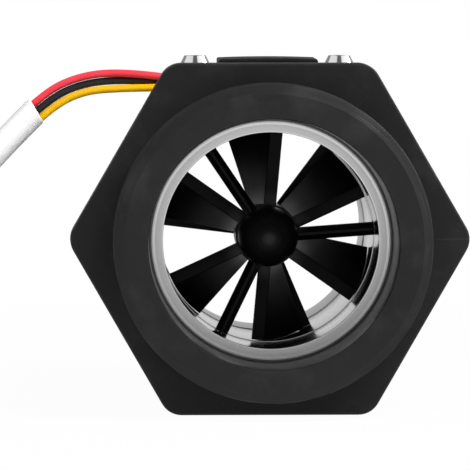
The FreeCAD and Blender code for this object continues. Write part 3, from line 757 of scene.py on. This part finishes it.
def threadTree():
    graph, entry = startTree(
        "threaded end", Object="Outline", Int="Rows,Outer Rows,Segments",
        Float="Side,End,Axis Height,Pitch,Thread Start,Depth,Flat,Lead Radius,Lead Slope,Length,Fade")
    grid, row, radius, inset, turn = turnedGrid(graph, entry)
    along = (entry["End"] - inset) * entry["Side"]
    phase = (along / entry["Pitch"] + turn / (2 * math.pi) + entry["Thread Start"]) % 1.0
    slant = 1.0 - graph.math("ABSOLUTE", phase * 2.0 - 1.0)
    wave = graph.rise(slant, entry["Flat"], 1.0 - entry["Flat"])
    rounded = (wave * wave * (3.0 - 2.0 * wave) + wave * 2.0) / 3.0
    fade = graph.rise((entry["Length"] - inset) / entry["Fade"], 0.0, 1.0, "SMOOTHSTEP")
    outside = graph.math("LESS_THAN", row, entry["Outer Rows"])
    lift = rounded * entry["Depth"] * fade * outside
    limit = entry["Lead Radius"] + inset * entry["Lead Slope"]
    reach = graph.math("MINIMUM", radius + lift, limit) * outside + radius * (1.0 - outside)
    place = graph.join(reach * graph.math("COSINE", turn), along,
                       reach * graph.math("SINE", turn) + entry["Axis Height"])
    return endTree(graph, entry, bendGrid(graph, grid, place))


def threadOutline(look, length):    # (radius, distance from the end), the outside first
    root = look["threadCrest"] - look["threadDepth"]
    lead, slope = look["leadRadius"], look["leadSlope"]
    front, back = look["boreFront"], look["boreBack"]
    count = round(length / look["rowStep"])
    insets = [length * (1 - k / count) for k in range(count)]
    outer = [(min(root, lead + slope * inset), inset) for inset in insets]
    face = roundedOutline([(back, length, 0), (lead + slope, 1.0, 0), (lead, 0, look["faceRound"]),
                           (front, 0, look["boreRound"])])[2:]
    steps = look["boreSteps"]
    bore = [(front + (back - front) * k / steps, length * k / steps) for k in range(2, steps + 1)]
    outline = outer + [tuple(point) for point in face] + bore
    outline.append(outline[0])
    return [(radius * mm, inset * mm) for radius, inset in outline], count


def makeThreads():
    look = bodySteps
    length = spigotLength / mm
    outline, outerRows = threadOutline(look, length)
    carrier = outlineObject("threadOutline", outline)
    tree = threadTree()
    for name, side in (("inletThread", -1), ("outletThread", 1)):
        thread = growFrom(tree, name, "body_plastic", {
            "Outline": carrier, "Rows": len(outline), "Outer Rows": outerRows,
            "Segments": look["segments"], "Side": float(side), "End": bodyHigh.y,
            "Pitch": look["pitch"] * mm, "Thread Start": look["threadStart"],
            "Depth": look["threadDepth"] * mm, "Flat": look["threadFlat"],
            "Lead Radius": look["leadRadius"] * mm, "Lead Slope": look["leadSlope"],
            "Length": length * mm, "Fade": look["fadeLength"] * mm})
        settle(thread, "meter", "body_plastic")
    bpy.data.objects.remove(carrier)


makeBodyCore()
makeThreads()
print("body made")


# Steel sleeves

sleeveLook = {"lipThickness": 1.6, "seatRadius": 21.9, "seatDepth": 0.1, "rimRadius": 22.25,
              "rimEnd": 22.5, "rimFall": 0.14, "boreEdge": 0.12, "plainEdge": 0.08, "segments": 256,
              "bores": {"front_liner": 20.36, "centre_liner": 20.24, "rear_liner": 20.08}}


def makeSleeves():
    look = sleeveLook
    edge = look["plainEdge"]
    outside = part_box("centre_liner")[1].x / mm
    lip = sleeveHigh.x / mm
    for name, nodeName, lipSide in (("frontSleeve", "front_liner", -1),
                                    ("centreSleeve", "centre_liner", 0),
                                    ("rearSleeve", "rear_liner", 1)):
        low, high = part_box(nodeName)
        inside = look["bores"][nodeName]
        start, end = (low.y / mm, high.y / mm) if lipSide <= 0 else (high.y / mm, low.y / mm)
        inward = 1 if lipSide <= 0 else -1
        corners = [(inside, end, edge), (outside, end, edge)]
        if lipSide:    # a flat seat with a rim round it
            shoulder = start + inward * look["lipThickness"]
            seat = start + inward * look["seatDepth"]
            corners += [(outside, shoulder, 0), (lip, shoulder, 0.1),
                        (lip, start + inward * look["rimFall"], 0.2), (look["rimEnd"], start, 0.1),
                        (look["rimRadius"], start, edge), (look["seatRadius"], seat, 0.15),
                        (inside, seat, look["boreEdge"])]
        else:
            corners += [(outside, start, edge), (inside, start, edge)]
        bm = turnOutline([point * mm for point in roundedOutline(corners)], look["segments"])
        dress(meshObject(name, bm), "meter", "liner_steel", (nodeName,), 50)


makeSleeves()
print("sleeves made")


# Spiders

spiderLook = {"hubRadius": 5.64, "noseLength": 5.2, "noseFlat": 0.9, "baseRound": 0.3,
              "pocketRadius": 3.03, "pocketDepth": 4.4, "armWidth": 2.45, "armDepth": 3.2,
              "roofDepth": 1.7, "ridgeWidth": 0.5, "frontReach": 20.3, "rearReach": 20.18,
              "frontAngle": 4.1, "frontSetback": 1.3, "rearAngle": 53.0, "rearSetback": 3.0,
              "pocketRound": 0.15, "noseSteps": 16, "segments": 96}


def hubOutline(look, base, tip):    # bullet with a domed nose and a pocket for its bearing
    side = 1 if tip > base else -1
    hub, pocket, steps = look["hubRadius"], look["pocketRadius"], look["noseSteps"]
    shoulder = tip - side * look["noseLength"]
    fall = hub - look["noseFlat"]
    ball = (look["noseLength"] ** 2 + fall ** 2) / 2 / fall
    sweep = math.asin(look["noseLength"] / ball)
    nose = [(hub - ball * (1 - math.cos(sweep * k / steps)),
             shoulder + side * ball * math.sin(sweep * k / steps)) for k in range(steps, 0, -1)]
    pocketEnd = base + side * look["pocketDepth"]
    rim = roundedOutline([(hub, shoulder, 0), (hub, base, look["baseRound"]),
                          (pocket, base, look["pocketRound"]), (pocket, pocketEnd, 0)], 5)
    return [Vector((0, tip))] + [Vector(point) for point in nose] + rim + [Vector((0, pocketEnd))]


def addArm(bm, look, near, side, angle, wall):    # bar, roof-shaped on the side away from the rotor
    half = look["armWidth"] / 2
    ridge = look["ridgeWidth"] / 2
    far = near + side * look["armDepth"]
    eaves = far - side * look["roofDepth"]
    section = [(near, -half), (near, half), (eaves, half), (far, ridge), (far, -ridge),
               (eaves, -half)]
    rings = []
    for radius in (look["hubRadius"] / 2, wall):
        ring = []
        for y, z in section:
            x = math.sqrt(radius * radius - z * z)
            place = Quaternion((0, 1, 0), -math.radians(angle)) @ Vector((x, 0, z))
            ring.append(bm.verts.new(onAxis(place.x * mm, y * mm, place.z * mm)))
        rings.append(ring)
    joinRings(bm, rings)
    bm.faces.new(rings[0])
    bm.faces.new(rings[-1])


def makeSpiders():
    look = spiderLook
    for name, nodeName, side in (("frontSpider", "front_spider", -1),
                                 ("rearSpider", "rear_spider", 1)):
        low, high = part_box(nodeName)
        tip, base = (low.y / mm, high.y / mm) if side < 0 else (high.y / mm, low.y / mm)
        outline = [point * mm for point in hubOutline(look, base, tip)]
        bm = turnOutline(outline, look["segments"], closed=False)
        end = "front" if side < 0 else "rear"
        near = base + side * look[end + "Setback"]
        for k in range(3):
            addArm(bm, look, near, side, look[end + "Angle"] + 120 * k, look[end + "Reach"])
        dress(meshObject(name, bm), "meter", "spider_plastic", (nodeName,), 30)


makeSpiders()
print("spiders made")


# Rotor

rotorLook = {"hubRadius": 6.0, "tipRadius": 20.12, "blades": 6, "thickness": 2.4, "twist": 23.5,
             "leadAngle": 24.7, "edgeRound": 0.12, "hubChamfer": 0.35, "shaftRadius": 1.5,
             "hubSegments": 96, "bladeGrid": (12, 40, 3)}


def bladeTree():
    graph, entry = startTree(
        "helical blades", Int="Blades",
        Float="Hub Radius,Tip Radius,Thickness,Front,Length,Twist,Lead Angle,Axis Height")
    countX, countY, countZ = rotorLook["bladeGrid"]
    bar = graph.shape("MeshCube", {"Size": (1, 1, 1), "Vertices X": countX, "Vertices Y": countY,
                                   "Vertices Z": countZ})
    split = graph.split(graph.shape("InputPosition"))
    share = split["Y"] + 0.5
    out = entry["Hub Radius"] + (split["X"] + 0.5) * (entry["Tip Radius"] - entry["Hub Radius"])
    across = split["Z"] * entry["Thickness"]
    radial = (out * out - across * across) ** 0.5
    turn = entry["Twist"] * share + entry["Lead Angle"]
    cosine, sine = graph.math("COSINE", turn), graph.math("SINE", turn)
    bent = graph.join(radial * cosine - across * sine, entry["Front"] + share * entry["Length"],
                      radial * sine + across * cosine)
    blade = graph.shape("SetPosition", {"Geometry": bar, "Position": bent})
    spots = graph.shape("MeshLine", {"Count": entry["Blades"], "Offset": (0, 0, 0)})
    step = graph.shape("InputIndex") * (2 * math.pi) / entry["Blades"]
    ring = graph.shape("InstanceOnPoints", {"Points": spots, "Instance": blade,
                                            "Rotation": graph.join(y=step)})
    lift = graph.join(z=entry["Axis Height"])
    raised = graph.shape("Transform", {"Geometry": ring, "Translation": lift})
    return endTree(graph, entry, raised)


def makeRotor():
    look = rotorLook
    low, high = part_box("rotor")
    blades = growFrom(bladeTree(), "rotorBlades", "rotor_plastic", {
        "Blades": look["blades"], "Hub Radius": (look["hubRadius"] - 1) * mm,
        "Tip Radius": look["tipRadius"] * mm, "Thickness": look["thickness"] * mm, "Front": low.y,
        "Length": high.y - low.y, "Twist": math.radians(look["twist"]),
        "Lead Angle": math.radians(look["leadAngle"])})
    edges = blades.modifiers.new("edges", "BEVEL")
    edges.width = look["edgeRound"] * mm
    edges.segments = 3
    edges.angle_limit = math.radians(50)
    settle(blades, "rotor_set", "rotor_plastic", ("rotor",), 35)
    front, rear = low.y / mm, high.y / mm
    hub, shaft, chamfer = look["hubRadius"], look["shaftRadius"], look["hubChamfer"]
    outline = roundedOutline([(shaft, front, 0), (hub, front, chamfer), (hub, rear, chamfer),
                              (shaft, rear, 0)])
    bm = turnOutline([point * mm for point in outline], look["hubSegments"])
    dress(meshObject("rotorHub", bm), "rotor_set", "rotor_plastic", ("rotor",), 50)


makeRotor()
print("rotor made")


# Cover screws

screwLook = {"headRadius": 2.93, "headHeight": 1.8, "topRadius": 2.05, "rimHeight": 0.35,
             "rimRadius": 3.2, "coneRadius": 2.78, "shankRadius": 1.5, "segments": 64,
             "slotWidth": 0.75, "slotLength": 3.0, "slotDepth": 1.1, "slotTaper": 0.45,
             "firstTurn": 0.4, "nextTurn": 0.7}


def screwTree():
    look = screwLook
    graph, entry = startTree(
        "cross head screws", Object="Outline,Places", Int="Rows,Segments",
        Float="Slot Width,Slot Length,Slot Depth,Top")
    grid, row, radius, height, turn = turnedGrid(graph, entry)
    place = graph.join(radius * graph.math("COSINE", turn), radius * graph.math("SINE", turn), height)
    closed = bendGrid(graph, grid, place)
    screw = graph.shape("FlipFaces", {"Mesh": closed})    # outwards, for the cuts below
    for quarter in (0, 1):
        bar = graph.shape("MeshCube", {"Size": (1, 1, 1)})
        spot = graph.split(graph.shape("InputPosition"))
        taper = graph.spread(spot["Z"] + 0.5, look["slotTaper"], 1.0)    # narrows towards its bottom
        sides = [spot["X"] * entry["Slot Length"] * taper, spot["Y"] * entry["Slot Width"]]
        low = entry["Top"] + spot["Z"] * entry["Slot Depth"] * 2.0
        shape = graph.join(*(reversed(sides) if quarter else sides), low)
        wing = graph.shape("SetPosition", {"Geometry": bar, "Position": shape})
        screw = graph.shape("MeshBoolean", {"Mesh 1": screw, "Mesh 2": wing}, operation="DIFFERENCE")
    spots = graph.shape("ObjectInfo", {"Object": entry["Places"]})["Geometry"]
    spin = graph.join(z=graph.shape("InputIndex") * look["nextTurn"] + look["firstTurn"])
    pair = graph.shape("InstanceOnPoints", {"Points": spots, "Instance": screw, "Rotation": spin})
    return endTree(graph, entry, pair)


def makeScrews():
    look = screwLook
    low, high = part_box("cover_screws")
    head = look["headHeight"]
    seat = high.z / mm - head
    shank = low.z / mm - seat
    rim, rimHeight = look["rimRadius"], look["rimHeight"]
    outline = [(0.0, head)] + [tuple(point) for point in roundedOutline(
        [(0, head, 0), (look["topRadius"], head, 0.3), (look["coneRadius"], rimHeight, 0.05),
         (rim, rimHeight, 0.1), (rim, 0, 0.08), (look["shankRadius"], 0, 0),
         (look["shankRadius"], shank, 0.3), (0, shank, 0)], 5)[1:]]
    carrier = outlineObject("screwOutline", [(radius * mm, height * mm) for radius, height in outline])
    inset = look["headRadius"] * mm
    middle = (low.y + high.y) / 2
    spots = newObject("screwPlaces", bpy.data.meshes.new("screwPlaces"))
    places = [(x, middle, seat * mm) for x in (low.x + inset, high.x - inset)]
    spots.data.from_pydata(places, [], [])
    screws = growFrom(screwTree(), "coverScrewPair", "screw_steel", {
        "Outline": carrier, "Rows": len(outline), "Segments": look["segments"],
        "Slot Width": look["slotWidth"] * mm, "Slot Length": look["slotLength"] * mm,
        "Slot Depth": look["slotDepth"] * mm, "Top": head * mm, "Places": spots})
    settle(screws, "meter", "screw_steel", ("cover_screws",), 32)
    bpy.data.objects.remove(carrier)
    bpy.data.objects.remove(spots)


makeScrews()
print("screws made")


# Floor, light and surroundings

lightLook = {"room": 0.26, "shadow": 0.03, "shadowNear": 0.10, "shadowFar": 0.4, "bounce": 0.7,
             "lean": 0.25, "windowRise": (0.5, 0.6), "windowEdge": (0.2, 0.32), "windowGlow": 0.25,
             "roofDark": 0.8}
lamps = {    # power, place, size, whether gloss shows it and whether it lights what is dull
    "keyLamp": (3.3, (0.22, -0.3, 0.42), 0.3, False, True),
    "fillLamp": (3.2, (-0.35, -0.95, 0.65), 0.5, False, True),
    "rimLamp": (8.5, (1.0, 0.2, 0.7), 0.5, True, False),
}
roomBands = ((0.0, 0.85), (0.0015, 0.75), (0.004, 0.26), (0.035, 0.28), (0.1, 0.45), (0.2, 0.62),
             (0.5, 0.8), (0.6, 0.9), (0.7, 0.3), (0.965, 0.35), (0.988, 1.0))
floorBands = ((0.0, 0.5), (0.4, 0.5), (0.56, 0.45), (0.68, 0.2), (0.85, 0.25), (0.98, 0.5))


def makeFloor():    # white to the camera, banded to what shines, and grey to everything else
    material = bpy.data.materials.new("pale floor")
    graph = emptyGraph(material)
    place = graph.add("ShaderNodeTexCoord", output="Object")
    away = graph.add("ShaderNodeVectorMath", {0: place}, output="Value", operation="LENGTH")
    keep = graph.add("ShaderNodeMapRange", {
        "Value": away, "From Min": lightLook["shadowNear"], "From Max": lightLook["shadowFar"],
        "To Min": 1 - lightLook["shadow"], "To Max": 1.0}, interpolation_type="SMOOTHSTEP")
    bands = graph.ramp(graph.split(place)["Y"] + 0.5, *floorBands)
    path = graph.add("ShaderNodeLightPath")
    direct = graph.math("MAXIMUM", path["Is Camera Ray"], path["Is Transmission Ray"])
    white = graph.add("ShaderNodeEmission", {"Color": colour(1.0), "Strength": 1.0})
    shiny = graph.add("ShaderNodeEmission", {"Color": colour(1.0), "Strength": bands * 2.0})
    matt = graph.add("ShaderNodeBsdfDiffuse", {"Color": colour(lightLook["bounce"])})
    lit = graph.add("ShaderNodeMixShader", {0: direct * keep, 1: matt, 2: white})
    mixed = graph.add("ShaderNodeMixShader", {0: path["Is Glossy Ray"] * (1.0 - direct), 1: lit,
                                              2: shiny})
    graph.add("ShaderNodeOutputMaterial", {"Surface": mixed})
    bm = bmesh.new()
    bmesh.ops.create_grid(bm, x_segments=1, y_segments=1, size=20)
    floor = meshObject("floor", bm, turnOut=False)
    floor.data.materials.append(material)


def makeRoom():    # bands of light and dark along the flow, with a pair of windows above
    world = bpy.data.worlds.new("room")
    bpy.context.scene.world = world
    graph = emptyGraph(world)
    heading = graph.split(graph.add("ShaderNodeTexCoord", output="Generated"))
    path = graph.add("ShaderNodeLightPath")
    tent = graph.ramp(heading["Y"] * 0.5 + 0.5, *roomBands)
    above = graph.rise(heading["Z"], *lightLook["windowRise"])
    window = graph.rise(graph.math("ABSOLUTE", heading["X"]), *lightLook["windowEdge"])
    tent = (tent * (1.0 - above * (1.0 - window) * lightLook["roofDark"])
            + above * window * lightLook["windowGlow"])
    tent = tent * (1.0 + heading["X"] * lightLook["lean"])    # brighter on the right
    gloss = path["Is Glossy Ray"]
    seen = path["Is Camera Ray"]
    other = (1.0 - gloss) * (1.0 - seen)
    strength = seen + gloss * tent * (1.0 - seen) + other * lightLook["room"]
    sky = graph.add("ShaderNodeBackground", {"Color": colour(1.0), "Strength": strength})
    graph.add("ShaderNodeOutputWorld", {"Surface": sky})


def makeLamp(name, power, place, size, shines, fills):
    lamp = bpy.data.lights.new(name, "AREA")
    lamp.shape = "DISK"
    lamp.size = size
    lamp.energy = power
    lampObject = newObject(name, lamp)
    lampObject.location = place
    lampObject.visible_glossy = shines
    lampObject.visible_diffuse = fills
    aim = onAxis(0, 0, 0) - Vector(place)
    lampObject.rotation_mode = "QUATERNION"
    lampObject.rotation_quaternion = aim.to_track_quat("-Z", "Y")


makeFloor()
makeRoom()
for lampName, lampValues in lamps.items():
    makeLamp(lampName, *lampValues)
bpy.context.scene.view_settings.view_transform = "Standard"
print("stage and lights made")
